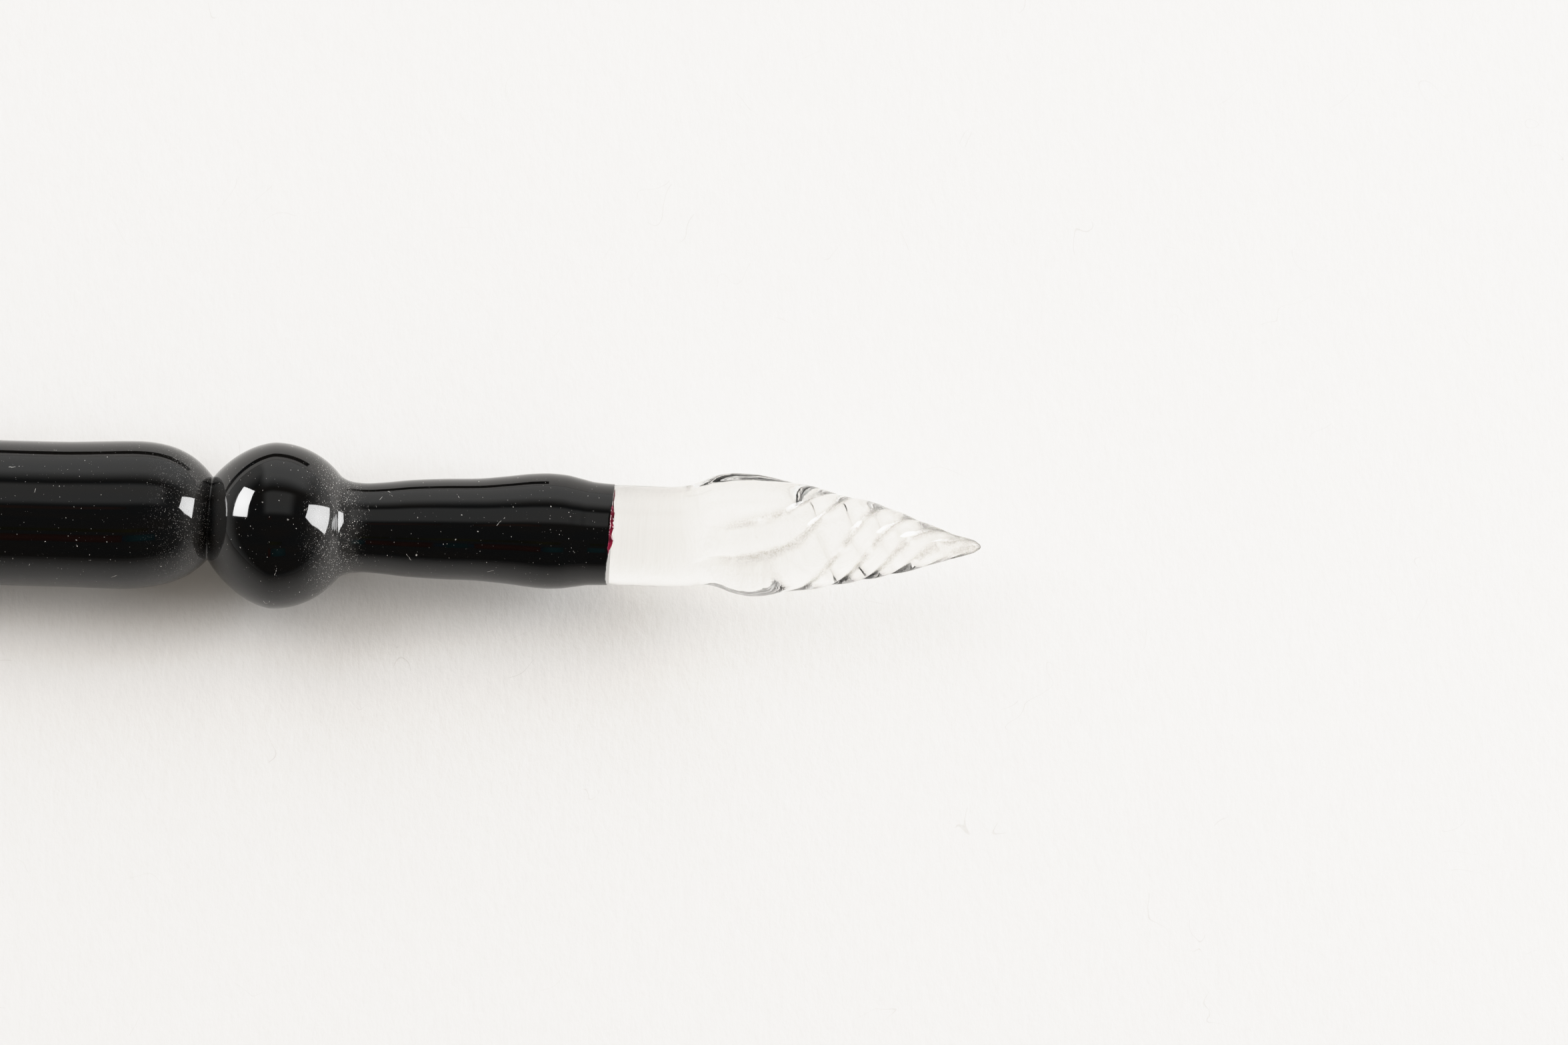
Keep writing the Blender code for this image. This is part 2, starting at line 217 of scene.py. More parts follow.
def lobe_height(t):
    """How proud a rib stands, t of the way across it, from 0 to 1."""
    def raw(q):
        return (q + ROUND_FLOOR) ** (0.5 * ROUND)
    return (raw(math.sin(math.pi * t) ** 2) - raw(0.0)) / (raw(1.0) - raw(0.0))


def across(k):
    """Where point k of a rib's section lies: closer together at its edges."""
    t = k / RIB_POINTS
    return 0.4 * t + 0.6 * (0.5 - 0.5 * math.cos(math.pi * t))


def rib_section(x):
    """(angle, radius) round the ribbed nib at x: round lobes, sharp valleys."""
    valleys = valley_angles(x)
    valleys.append(valleys[0] + 360.0)
    grown = ramp(RIB_GROW_X, RIB_START_X + 2.4, x)
    lateness = 1.0 - ramp(156.0, 160.0, x)
    shank = min(SHANK_RADIUS, through(CREST, x))
    crests = [max(shank, through(CREST, x - late * lateness)) for late in LOBE_START]
    depth = through(VALLEY, x) * grown

    def floor_radius(i):
        i %= len(VALLEYS)
        nearest = min(crests[i], crests[i - 1])
        facing = 0.4 + 0.6 * facing_view(valleys[i])    # shallower on the underside
        return nearest * (1.0 - depth * VALLEY_SHARE[i] * facing)

    points = []
    for rib, crest in enumerate(crests):
        start, stop = valleys[rib], valleys[rib + 1]
        top = crest * (1.0 + (LOBE_SHARE[rib] - 1.0) * grown)
        low_start, low_stop = floor_radius(rib), floor_radius(rib + 1)
        middle = 0.5 * (low_start + low_stop)
        # a narrow rib stands less proud
        narrow = min(1.0, (stop - start) / 60.0)
        top = middle + (top - middle) * (0.35 + 0.65 * narrow)
        for k in range(RIB_POINTS):
            t = across(k)
            low = low_start + (low_stop - low_start) * t
            points.append((start + (stop - start) * t,
                           low + (top - low) * lobe_height(t)))
    return points


# ==================================================================== meshes
def loft(name, sections, material, uneven=False, closed=False):
    """Skins rings of (x, [(angle, radius), ...]) into one closed mesh.

    A point may carry a third number, its own shift along x.  A closed loft
    joins its last ring to its first, for a torus; any other is capped.
    """
    verts = []
    for x, points in sections:
        for angle, radius, *shift in points:
            at = x + (shift[0] if shift else 0.0)
            turn = math.radians(angle)
            if uneven:
                place = (at, 3.0 * math.sin(turn), 3.0 * math.cos(turn) + 40)
                radius += UNEVEN * noise.noise(Vector([c / UNEVEN_SIZE for c in place]))
            y, z = radius * math.sin(turn), radius * math.cos(turn)
            verts.append(((at + through(LEAN, at) * y) * MM, (y + drift(at)) * MM, z * MM))
    count, rows = len(sections[0][1]), len(sections)
    faces = []
    for i in range(rows if closed else rows - 1):
        ring, following = i * count, (i + 1) % rows * count
        for j in range(count):
            m = (j + 1) % count
            faces.append((ring + j, following + j, following + m, ring + m))
    last = (rows - 1) * count
    if not closed:
        faces.append(tuple(range(count)))
        faces.append(tuple(reversed(range(last, last + count))))
    mesh = bpy.data.meshes.new(name)
    mesh.from_pydata(verts, [], faces)
    mesh.validate()
    mesh.update()
    mesh.shade_smooth()
    mesh.set_sharp_from_angle(angle=math.radians(50.0))
    if not closed:
        for edge in mesh.edges:
            if max(edge.vertices) < count or min(edge.vertices) >= last:
                edge.use_edge_sharp = True
    mesh.materials.append(material)
    return add_object(name, mesh)


def add_object(name, data):
    thing = bpy.data.objects.new(name, data)
    bpy.context.scene.collection.objects.link(thing)
    return thing


def stations(start, *runs):
    """x values from start, through runs of (stop, step, end they crowd towards)."""
    values = [start]
    for stop, step, crowded in runs:
        count = math.ceil((stop - start) / step)
        for k in range(1, count + 1):
            t = k / count
            if crowded == "last":
                t = math.sin(0.5 * math.pi * t)
            elif crowded == "first":
                t = 1.0 - math.cos(0.5 * math.pi * t)
            values.append(start + (stop - start) * t)
        start = stop
    return values


# ================================================================= materials
class Graph:
    """Wires shader nodes; an input is a number, a tuple or another node's socket."""

    def __init__(self, tree):
        self.tree = tree

    def feed(self, node, inputs):
        """Fills a node's inputs, given by name or number."""
        for key, value in inputs.items():
            if isinstance(value, (int, float, tuple)):
                node.inputs[key].default_value = value
            else:
                self.tree.links.new(value, node.inputs[key])

    def node(self, kind, inputs=(), **properties):
        node = self.tree.nodes.new(kind)
        for key, value in properties.items():
            setattr(node, key, value)
        self.feed(node, dict(inputs))
        return node

    def math(self, op, a, b=0.0, c=0.0, clamp=False):
        return self.node("ShaderNodeMath", enumerate((a, b, c)), operation=op,
                         use_clamp=clamp).outputs[0]

    def times(self, a, b, clamp=False):
        return self.math("MULTIPLY", a, b, clamp=clamp)

    def linear(self, x, times, plus):
        return self.math("MULTIPLY_ADD", x, times, plus)

    def larger(self, a, b, clamp=False):
        return self.math("MAXIMUM", a, b, clamp=clamp)

    def vector(self, op, a, b, output=0):
        return self.node("ShaderNodeVectorMath", enumerate((a, b)),
                         operation=op).outputs[output]

    def stretched(self, vector, factors):
        return self.vector("MULTIPLY", vector, factors)

    def scaled(self, vector, factor):
        return self.node("ShaderNodeVectorMath", {0: vector, 3: factor},
                         operation="SCALE").outputs[0]

    def axes(self, vector):
        return self.node("ShaderNodeSeparateXYZ", {0: vector}).outputs

    def step(self, x, low, high):
        """0 below low, 1 above high, smooth between."""
        return self.node("ShaderNodeMapRange", enumerate((x, low, high)),
                         interpolation_type="SMOOTHSTEP").outputs[0]

    def fall(self, x, low, high):
        """1 below low, 0 above high, smooth between."""
        return self.math("SUBTRACT", 1.0, self.step(x, low, high))

    def band(self, x, rise, fall):
        """1 between the rise and the fall, each (low, high)."""
        return self.times(self.step(x, *rise), self.fall(x, *fall))

    def noise(self, vector, scale, detail=2.0, rough=0.5, distort=0.0, output="Fac"):
        return self.node("ShaderNodeTexNoise", {
            "Vector": vector, "Scale": scale, "Detail": detail,
            "Roughness": rough, "Distortion": distort}).outputs[output]

    def warped(self, vector, scale, amount):
        """The vector, pushed about by a smooth noise."""
        push = self.noise(vector, scale, detail=1.0, output="Color")
        push = self.vector("SUBTRACT", push, (0.5, 0.5, 0.5))
        return self.vector("ADD", vector, self.scaled(push, amount))

    def mix(self, amount, a, b):
        return self.node("ShaderNodeMix", {0: amount, 6: a, 7: b},
                         data_type="RGBA").outputs[2]

    def mix_shader(self, amount, a, b):
        return self.node("ShaderNodeMixShader", enumerate((amount, a, b))).outputs[0]

    def bump(self, height, strength, distance):
        return self.node("ShaderNodeBump", {
            "Height": height, "Strength": strength,
            "Distance": distance}).outputs["Normal"]

    def light_path(self):
        return self.node("ShaderNodeLightPath").outputs

    def point_mm(self):
        """Object coordinates in millimetres."""
        coordinates = self.node("ShaderNodeTexCoord").outputs["Object"]
        return self.scaled(coordinates, 1000.0)

    def surface(self, shader):
        self.feed(self.tree.nodes["Material Output"], {"Surface": shader})


def new_material(name):
    """A material, its graph and its Principled node."""
    material = bpy.data.materials.new(name)
    material.use_nodes = True
    tree = material.node_tree
    return material, Graph(tree), tree.nodes["Principled BSDF"]


def specks(graph, point, cell, smallest, largest, share, stretch=1.6):
    """Irregular flecks: about `share` of the cells hold one.  Sizes in mm."""
    moved = graph.warped(point, scale=1.1 / largest, amount=stretch * largest)
    cells = graph.node("ShaderNodeTexVoronoi", {
        "Vector": moved, "Scale": 1.0 / cell, "Randomness": 1.0}, feature="F1")
    # three random numbers per cell: whether it holds a fleck, its size, its strength
    present, size, strength = graph.node(
        "ShaderNodeSeparateColor", {0: cells.outputs["Color"]}).outputs
    distance = graph.times(cells.outputs["Distance"], cell)
    size = graph.math("POWER", size, 2.5)
    radius = graph.linear(size, times=largest - smallest, plus=smallest)
    radius = graph.times(radius, graph.math("LESS_THAN", present, share))
    inside = graph.fall(distance, low=graph.times(radius, 0.6),
                        high=graph.math("ADD", radius, 1e-4))
    return graph.times(inside, graph.linear(strength, times=0.65, plus=0.35))


def on_pen(radius, x, high):
    """The visible surface point at x, this far above the middle line in the view."""
    turn = math.asin(high / radius(x)) - math.radians(VIEW_TILT)
    return Vector((x, drift(x) + radius(x) * math.sin(turn), radius(x) * math.cos(turn)))


def hair(graph, point, start, stop, half):
    """How far the point is covered by a hair of this half width."""
    way = stop - start
    offset = graph.vector("SUBTRACT", point, tuple(start))
    along = graph.vector("DOT_PRODUCT", offset, tuple(way / way.length_squared), "Value")
    along = graph.times(along, 1.0, clamp=True)
    foot = graph.scaled(tuple(way), along)
    away = graph.vector("DISTANCE", offset, foot, "Value")
    return graph.fall(away, low=0.55 * half, high=1.5 * half)


# short fibres on the black glass: radius law, (x, height) of both ends, half width
FIBRES = (
    (grip_radius, (136.35, 0.34), (136.95, 0.95), 0.022),
    (grip_radius, (129.20, -2.07), (129.70, -2.60), 0.020),
    (grip_radius, (126.95, 2.30), (127.55, 2.95), 0.018),
    (grip_radius, (127.55, 2.95), (127.95, 2.55), 0.015),
    (grip_radius, (126.05, 1.55), (126.30, 1.15), 0.018),
    (grip_radius, (135.25, -3.42), (136.40, -3.20), 0.020),
    (grip_radius, (133.10, 2.75), (133.40, 2.30), 0.014),
    (barrel_radius, (97.4, 3.62), (98.5, 3.78), 0.020),
    (barrel_radius, (99.5, 1.70), (99.75, 2.30), 0.016),
    (barrel_radius, (105.5, -5.05), (106.4, -4.75), 0.020),
    (barrel_radius, (99.2, -4.15), (99.45, -3.80), 0.018),
    (barrel_radius, (110.3, 4.60), (110.7, 4.40), 0.016),
    (ball_radius, (114.75, 3.70), (115.0, 3.05), 0.018),
    (ball_radius, (117.9, -6.05), (118.15, -6.30), 0.022),
    (ball_radius, (118.15, -6.30), (118.45, -6.00), 0.022),
    (ball_radius, (118.85, -3.95), (119.05, -3.55), 0.020),
)


def glass_dust(graph, point):
    """Share of the black glass hidden by dust and fibres."""
    x = graph.axes(point)[0]
    # dust crowds in the fillet ahead of the ball and on the barrel's shoulder
    wander = graph.noise(point, scale=0.45, detail=3.0, rough=0.65)
    along = graph.linear(wander, times=2.0, plus=graph.math("SUBTRACT", x, 1.0))
    fillet = graph.band(along, rise=(120.6, 123.0), fall=(124.7, 126.4))
    shoulder = graph.band(along, rise=(107.5, 112.2), fall=(113.0, 113.6))
    crowd = graph.larger(fillet, graph.times(shoulder, 0.48))
    # a bloom of the finest dust on both walls of the crevice
    beside = graph.math("ABSOLUTE", graph.math("SUBTRACT", x, 113.25))
    bloom = graph.band(beside, rise=(0.15, 0.95), fall=(1.3, 2.6))
    patch = graph.noise(point, scale=0.16, detail=3.0, rough=0.6)
    many = graph.linear(graph.step(patch, low=0.38, high=0.62), times=0.75, plus=0.25)

    def shifted_specks(shift, **sizes):
        return specks(graph, graph.vector("ADD", point, shift), **sizes)

    fine = specks(graph, point, cell=0.30, smallest=0.016, largest=0.046, share=0.80)
    medium = shifted_specks((7.3, 1.1, 4.9), cell=0.70, smallest=0.032,
                            largest=0.072, share=0.60)
    big = shifted_specks((3.1, 9.7, 2.2), cell=1.7, smallest=0.05,
                         largest=0.115, share=0.5)
    dense = shifted_specks((1.9, 5.3, 8.8), cell=0.115, smallest=0.017,
                           largest=0.050, share=0.92)
    film = graph.times(graph.times(crowd, crowd), 0.028)
    film = graph.linear(bloom, times=0.020, plus=film)
    dust = graph.larger(graph.times(fine, many), medium)
    dust = graph.larger(dust, big)
    dust = graph.larger(dust, graph.times(dense, crowd))
    dust = graph.linear(dust, times=0.90, plus=film)
    # the fibres are bent a little
    bent = graph.warped(point, scale=1.7, amount=0.30)
    fibres = 0.0
    for radius, start, stop, half in FIBRES:
        one = hair(graph, bent, on_pen(radius, *start), on_pen(radius, *stop), half)
        fibres = graph.larger(one, fibres)
    return graph.larger(dust, graph.times(fibres, 0.60), clamp=True)


def black_glass():
    material, graph, glass = new_material("black_glass_dusty")
    point = graph.point_mm()
    # near-black glass with the faintest warm and cool streaks drawn along it
    streak = graph.noise(graph.stretched(point, (0.05, 0.9, 0.9)), scale=1.0)
    warm, cool = (0.0036, 0.0031, 0.0026, 1.0), (0.0024, 0.0027, 0.0029, 1.0)
    tint = graph.mix(graph.step(streak, low=0.35, high=0.65), warm, cool)
    # smudges in the polish
    smudge = graph.noise(point, scale=0.35, detail=4.0, rough=0.6)
    rough = graph.linear(graph.step(smudge, low=0.45, high=0.75), times=0.05, plus=0.03)
    # the drawn surface is very slightly rippled
    ripple = graph.noise(graph.stretched(point, (0.25, 1.0, 1.0)), scale=0.8, detail=1.0)
    pits = graph.noise(point, scale=9.0)
    height = graph.linear(ripple, times=1.0, plus=graph.times(pits, 0.02))
    graph.feed(glass, {
        "IOR": 1.5, "Base Color": tint, "Roughness": rough,
        "Normal": graph.bump(height, strength=0.22, distance=0.00003)})
    lint = graph.node("ShaderNodeBsdfDiffuse", {"Color": (0.82, 0.81, 0.78, 1.0)})
    dusty = graph.mix_shader(glass_dust(graph, point), glass.outputs[0], lint.outputs[0])
    # painted glow: seen through the nib, the handle is swapped for a glowing grey emission
    # instead of its dark glass
    inside = graph.math("GREATER_THAN", graph.light_path()["Transmission Depth"], 0.5)
    painted_grey_glow = graph.node("ShaderNodeEmission", {"Color": (0.50, 0.49, 0.47, 1.0)})
    graph.surface(graph.mix_shader(graph.times(inside, 0.85), dusty, painted_grey_glow.outputs[0]))
    return material


def clear_glass():
    material, graph, glass = new_material("clear_nib_glass")
    point = graph.point_mm()
    # painted shade: the creases between the ribs get a dark grey-tan colour in a stippled
    # grain, and are rougher and pitted there too
    crease_shading_and_pitting = graph.node("ShaderNodeAttribute", attribute_name="crease_shading_and_pitting").outputs["Fac"]
    patchy = graph.noise(point, scale=0.9)
    shading_and_pitting = graph.times(crease_shading_and_pitting, graph.step(patchy, low=0.26, high=0.52))
    dots = graph.noise(point, scale=7.0, detail=3.0, rough=0.7)
    grain = graph.linear(graph.step(dots, low=0.40, high=0.62), times=0.60, plus=0.40)
    # the second colour is the painted shade laid into the creases
    clean, painted_crease_shade = (0.978, 0.968, 0.950, 1.0), (0.43, 0.405, 0.365, 1.0)
    colour = graph.mix(graph.times(shading_and_pitting, grain), clean, painted_crease_shade)
    rough = graph.times(shading_and_pitting, 0.42)
    ripple = graph.noise(graph.stretched(point, (0.4, 1.2, 1.2)), scale=1.1)
    pits = graph.noise(point, scale=8.0, rough=0.7)
    height = graph.linear(graph.times(pits, shading_and_pitting), times=0.55, plus=ripple)
    graph.feed(glass, {
        "Transmission Weight": 1.0, "IOR": 1.38, "Base Color": colour,
        "Roughness": rough,
        "Normal": graph.bump(height, strength=0.18, distance=0.00004)})
    # lamps shine through it, so its shadow on the paper stays pale
    shadow = graph.light_path()["Is Shadow Ray"]
    lets = graph.node("ShaderNodeBsdfTransparent", {"Color": (0.97, 0.97, 0.965, 1.0)})
    graph.surface(graph.mix_shader(shadow, glass.outputs[0], lets.outputs[0]))
    return material


def ruby_glass():
    material, graph, glass = new_material("ruby_seam_glass")
    blotch = graph.noise(graph.point_mm(), scale=1.3, detail=3.0)
    dark, bright = (0.10, 0.004, 0.012, 1.0), (0.42, 0.02, 0.07, 1.0)
    graph.feed(glass, {
        "Base Color": graph.mix(graph.step(blotch, low=0.35, high=0.7), dark, bright),
        "Transmission Weight": 0.45, "IOR": 1.55, "Roughness": 0.04})
    return material


BACKDROP, BACKDROP_COLOUR = 0.97, (1.0, 1.0, 0.985, 1.0)


def paper():
    material, graph, sheet = new_material("paper")
    point = graph.point_mm()
    # pulp: faint blotches drawn out across the sheet
    pulp = graph.noise(graph.stretched(point, (1.0, 0.55, 1.0)), scale=1.0,
                       detail=3.0, rough=0.6)
    darker, lighter = (0.932, 0.927, 0.904, 1.0), (0.946, 0.941, 0.918, 1.0)
    colour = graph.mix(graph.step(pulp, low=0.30, high=0.70), darker, lighter)
    # stray dark specks and hairs of lint
    motes = specks(graph, point, cell=6.5, smallest=0.04, largest=0.11, share=0.35,
                   stretch=2.4)
    mote_colour, lint_colour = (0.25, 0.22, 0.19, 1.0), (0.40, 0.38, 0.35, 1.0)
    colour = graph.mix(graph.times(motes, 0.55), colour, mote_colour)
    # a hair follows the noise's middle level, where a second noise lets it show
    field = graph.noise(point, scale=0.16, detail=1.0, rough=0.4, distort=0.8)
    off_level = graph.math("ABSOLUTE", graph.math("SUBTRACT", field, 0.5))
    line = graph.fall(off_level, low=0.0009, high=0.0022)
    some = graph.noise(graph.vector("ADD", point, (31.0, 13.0, 5.0)), scale=0.21,
                       detail=0.0)
    line = graph.times(line, graph.step(some, low=0.71, high=0.73))
    colour = graph.mix(graph.times(line, 0.20), colour, lint_colour)
    # painted shade seen only in reflections: to glossy rays the sheet is darkened away
    # from the pen on the viewer's side (-Y):
    # its brightness is floor + rest / (1 + (y / reach)^2)
    floor, rest, reach = 0.28, 0.70, 38.0
    y = graph.axes(point)[1]
    off = graph.math("DIVIDE", y, reach)
    kept = graph.math("ADD", floor, graph.math(
        "DIVIDE", rest, graph.linear(off, times=off, plus=1.0)))
    near_side = graph.math("LESS_THAN", y, 0.0)
    ray = graph.light_path()
    painted_reflection_shade = graph.times(graph.math("SUBTRACT", 1.0, kept),
                      graph.times(near_side, ray["Is Glossy Ray"]))
    colour = graph.mix(painted_reflection_shade, colour, (0.0, 0.0, 0.0, 1.0))
    # a fine tooth that shows where the light rakes across
    tooth = graph.noise(graph.stretched(point, (1.4, 0.7, 1.0)), scale=1.1,
                        detail=4.0, rough=0.6)
    graph.feed(sheet, {
        "Base Color": colour, "Roughness": 0.9, "Specular IOR Level": 0.15,
        "Normal": graph.bump(tooth, strength=0.6, distance=0.0001)})
    # well away from the pen the sheet runs on into the plain backdrop
    away = graph.vector("DISTANCE", point, (100.0, 0.0, 0.0), "Value")
    far = graph.times(graph.step(away, low=150.0, high=560.0), ray["Is Camera Ray"])
    backdrop = graph.node("ShaderNodeEmission",
                          {"Color": BACKDROP_COLOUR, "Strength": BACKDROP})
    graph.surface(graph.mix_shader(far, sheet.outputs[0], backdrop.outputs[0]))
    return material


BLACK, CLEAR, RUBY = black_glass(), clear_glass(), ruby_glass()


# ==================================================================== pieces
def turned(name, xs, radius, uneven=True):
    """A round black piece with 128 points to a ring."""
    sections = [(x, [(360.0 * i / 128, radius(x)) for i in range(128)]) for x in xs]
    return loft(name, sections, BLACK, uneven)


def tail_bead():
    xs = stations(TAIL_END_X, (KNOB_X, 0.12, "last"),
                  (TAIL_WAIST_X - 0.01, 0.12, "first"))
    return turned("tail_bead_glass", xs, knob_radius, uneven=False)


def barrel():
    xs = stations(TAIL_WAIST_X + 0.01, (13.0, 0.12, "first"), (SHOULDER_X, 0.5, ""),
                  (FOOT_X, 0.11, "last"), (CREVICE_X + FOOT_HALF, 0.02, ""))
    return turned("barrel_glass", xs, footed_barrel_radius)


def ball():
    """The ball, its end melted into the grip's fillet."""
    xs = stations(CREVICE_X + 0.01, (BALL_X, 0.09, "first"), (BALL_SEAM_X, 0.09, "last"))
    return turned("ball_glass", xs + [BALL_SEAM_X + 0.15], ball_radius)


def noise_round(angle, scale, seed, shift=0.0):
    """Noise that runs seamlessly round the pen."""
    turn = math.radians(angle)
    return noise.noise(Vector((scale * math.cos(turn) + shift,
                               scale * math.sin(turn), seed)))


def lip_shift(angle):
    """How far the black lip runs past or falls short of its seam."""
    slow = noise_round(angle, scale=1.3, seed=7.7, shift=4.2)
    fast = noise_round(angle, scale=7.0, seed=2.1)
    finest = noise_round(angle, scale=21.0, seed=5.3)
    worn = math.exp(-((angle + 68.0) / 34.0) ** 2)      # worn back at one side
    return 0.05 * slow + 0.035 * fast + 0.02 * finest - 0.19 * worn


def fringe_share(angle):
    """1 where the ruby wells out of the seam, 0 where the black covers it."""
    share = 0.0
    for middle, half, most in FRINGE_PATCHES:
        off = (angle - middle + 180.0) % 360.0 - 180.0
        share = max(share, most * (1.0 - ramp(0.7 * half, 1.25 * half, abs(off))))
    return share


def grip():
    xs = stations(BALL_SEAM_X, (126.4, 0.08, ""), (LIP_START_X, 0.16, ""),
                  (LIP_X, 0.08, ""))
    angles = [360.0 * i / LIP_POINTS - 180.0 for i in range(LIP_POINTS)]
    sections = []
    for x in xs:
        near = ramp(LIP_START_X, LIP_X, x)
        thinned = 0.05 * ramp(145.15, LIP_X, x)
        sections.append((x, [(angle, grip_radius(x) - thinned * fringe_share(angle),
                              near * lip_shift(angle)) for angle in angles]))
    lip = sections[-1][1]
    for forward, drop in LIP_EDGE:
        sections.append((LIP_X, [(angle, radius - drop, shift + forward)
                                 for angle, radius, shift in lip]))
    return loft("grip_glass", sections, BLACK, uneven=True)


def fringe_point(angle, t):
    """Point t (radians) round the ruby ring's cross section at this angle."""
    share = fringe_share(angle)
    jitter = noise_round(angle, scale=5.0, seed=9.0)
    size = noise_round(angle, scale=9.0, seed=3.0)
    bead = abs(math.sin(0.5 * FRINGE_LUMPS * math.radians(angle) + 2.2 * jitter)) ** 0.6
    length = 0.02 + share * (0.17 + 0.10 * bead + 0.14 * size)
    height = 0.015 + share * (0.045 + 0.075 * bead + 0.05 * size)
    along = 0.5 - 0.5 * math.cos(t)
    rise = math.sin(t)
    radius = SHANK_RADIUS - 0.02 + (height if rise > 0 else 0.10) * rise
    return angle, radius, lip_shift(angle) - 0.06 + (length + 0.06) * along


def ruby_fringe():
    """Lumps of ruby glass welling out of the seam."""
    angles = [360.0 * i / FRINGE_POINTS - 180.0 for i in range(FRINGE_POINTS)]
    turns = [2.0 * math.pi * k / FRINGE_SECTIONS for k in range(FRINGE_SECTIONS)]
    sections = [(LIP_X, [fringe_point(angle, t) for angle in angles]) for t in turns]
    return loft("ruby_fringe", sections, RUBY, closed=True)


def clear_nib():
    xs = stations(LIP_X - 0.45, (RIB_GROW_X, 0.2, ""), (174.5, 0.1, ""))
    sections = []
    for x in xs:
        inset = 0.03 * (1.0 - ramp(145.0, 146.0, x))    # slips inside the grip's lip
        sections.append((x, [(angle, radius - inset) for angle, radius in rib_section(x)]))
    for x, share in TIP_RINGS:
        sections.append((x, [(angle, radius * share) for angle, radius
                             in rib_section(min(x, CREST[-1][0]))]))
    nib = loft("nib_glass", sections, CLEAR)
    # how near each vertex lies to a crease, weighted towards the side facing the camera:
    # it sets the painted shade in the creases and their roughness and pits
    near = []
    for x, points in sections:
        grown = ramp(RIB_START_X + 0.3, RIB_START_X + 5.0, x)
        for i, (angle, radius) in enumerate(points):
            t = across(i % RIB_POINTS)
            width = math.radians(60.0) * radius * min(t, 1.0 - t)
            near.append(grown * (0.25 + 0.75 * facing_view(angle))
                        * math.exp(-(width / 0.46) ** 2))
    layer = nib.data.attributes.new("crease_shading_and_pitting", "FLOAT", "POINT")
    layer.data.foreach_set("value", near)
    return nib


PIECES = ((tail_bead(), "tail_knob", "black_glass"),
          (barrel(), "barrel", "black_glass"),
          (ball(), "ball", "black_glass"),
          (grip(), "grip", "black_glass"),
          (ruby_fringe(), "ruby_rim", "ruby_glass"),
          (clear_nib(), "nib", "clear_glass"))
for piece, node_name, slot_name in PIECES:
    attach(piece, "root")
    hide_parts(node_name)


# ===================================================================== stage
def paper_sheet():
    """The sheet touches the pen under its tail bead and under its ball."""
    slope = (KNOB_RADIUS - BALL_RADIUS) / (BALL_X - KNOB_X)
    middle, half, gap = 100, 12000.0, 0.01
    corners = [Vector((x, y, -KNOB_RADIUS + slope * (x - KNOB_X) - gap)) * MM
               for x, y in ((middle - half, -half), (middle + half, -half),
                            (middle + half, half), (middle - half, half))]
    mesh = bpy.data.meshes.new("paper_sheet")
    mesh.from_pydata(corners, [], [(0, 1, 2, 3)])
    mesh.materials.append(paper())
    add_object("paper_sheet", mesh)


paper_sheet()

# --------------------------------------------------------------------- camera
CAMERA_ROLL = math.radians(2.1)
LENS, SENSOR = 300.0, 36.0
VIEW_WIDTH = 125.44    # mm across the view at the pen
LOOK_AT = Vector((159.2, 1.5, 0.0)) * MM
ELEVATION = math.radians(CAMERA_ELEVATION)
TO_CAMERA = Vector((0.0, -math.cos(ELEVATION), math.sin(ELEVATION)))
LEVEL_UP = Vector((0.0, math.sin(ELEVATION), math.cos(ELEVATION)))    # before the roll
# highlights roll off gently: (input, output) of the combined tone curve
TONE_CURVE = ((0.10, 0.205), (0.25, 0.55), (0.35, 0.76), (0.45, 0.905),
              (0.55, 0.962), (0.625, 0.977), (0.75, 0.987))
COMBINED_CURVE = 3


def camera():
    level_right = Vector((1.0, 0.0, 0.0))
    cosine, sine = math.cos(CAMERA_ROLL), math.sin(CAMERA_ROLL)
    right = cosine * level_right + sine * LEVEL_UP
    up = -sine * level_right + cosine * LEVEL_UP
    data = bpy.data.cameras.new("camera")
    data.lens, data.sensor_width = LENS, SENSOR
    data.clip_start, data.clip_end = 0.01, 20.0
    pose = Matrix((right, up, TO_CAMERA)).transposed().to_4x4()
    pose.translation = LOOK_AT + TO_CAMERA * (VIEW_WIDTH * MM / SENSOR * LENS)
    thing = add_object("camera", data)
    thing.matrix_world = pose
    bpy.context.scene.camera = thing


def tones():
    view = bpy.context.scene.view_settings
    view.view_transform = "Standard"
    view.use_curve_mapping = True
    mapping = view.curve_mapping
    mapping.white_level = (2.0, 2.0, 2.0)
    for x, y in TONE_CURVE:
        mapping.curves[COMBINED_CURVE].points.new(x, y)
    mapping.update()


camera()
tones()

# --------------------------------------------------------------------- lights
LIGHTS_AIM = Vector((135.0, 0.0, 0.0)) * MM
LIGHT_COLOUR = (0.975, 1.0, 1.045)
BALL_AT = Vector((BALL_X, drift(BALL_X), 0.0)) * MM
# name, direction from the aim (1 m away), side of the square in m, watts
WINDOW_LIGHTS = (("window_left_light", (-0.605, 0.52, 0.60), 1.0, 6.9),
                 ("window_right_light", (0.90, 0.04, 0.42), 0.60, 7.1))
# name, strength, falloff, (x, height above the middle line) of its image on the ball
WINDOW_CARDS = (
    ("window_left", 22.0, 0.22,
     ((116.07, 2.89), (116.96, 2.63), (116.365, 0.54), (115.21, 0.53))),
    ("window_right", 17.0, 0.25,
     ((121.25, 1.76), (122.91, 1.53), (122.62, -0.62), (121.57, 0.13), (121.04, 0.73))))
RULER_Y, RULER_X_RANGE, RULER_Z_RANGE = 43.0, (-400.0, 139.5), (-6.8, 0.2)
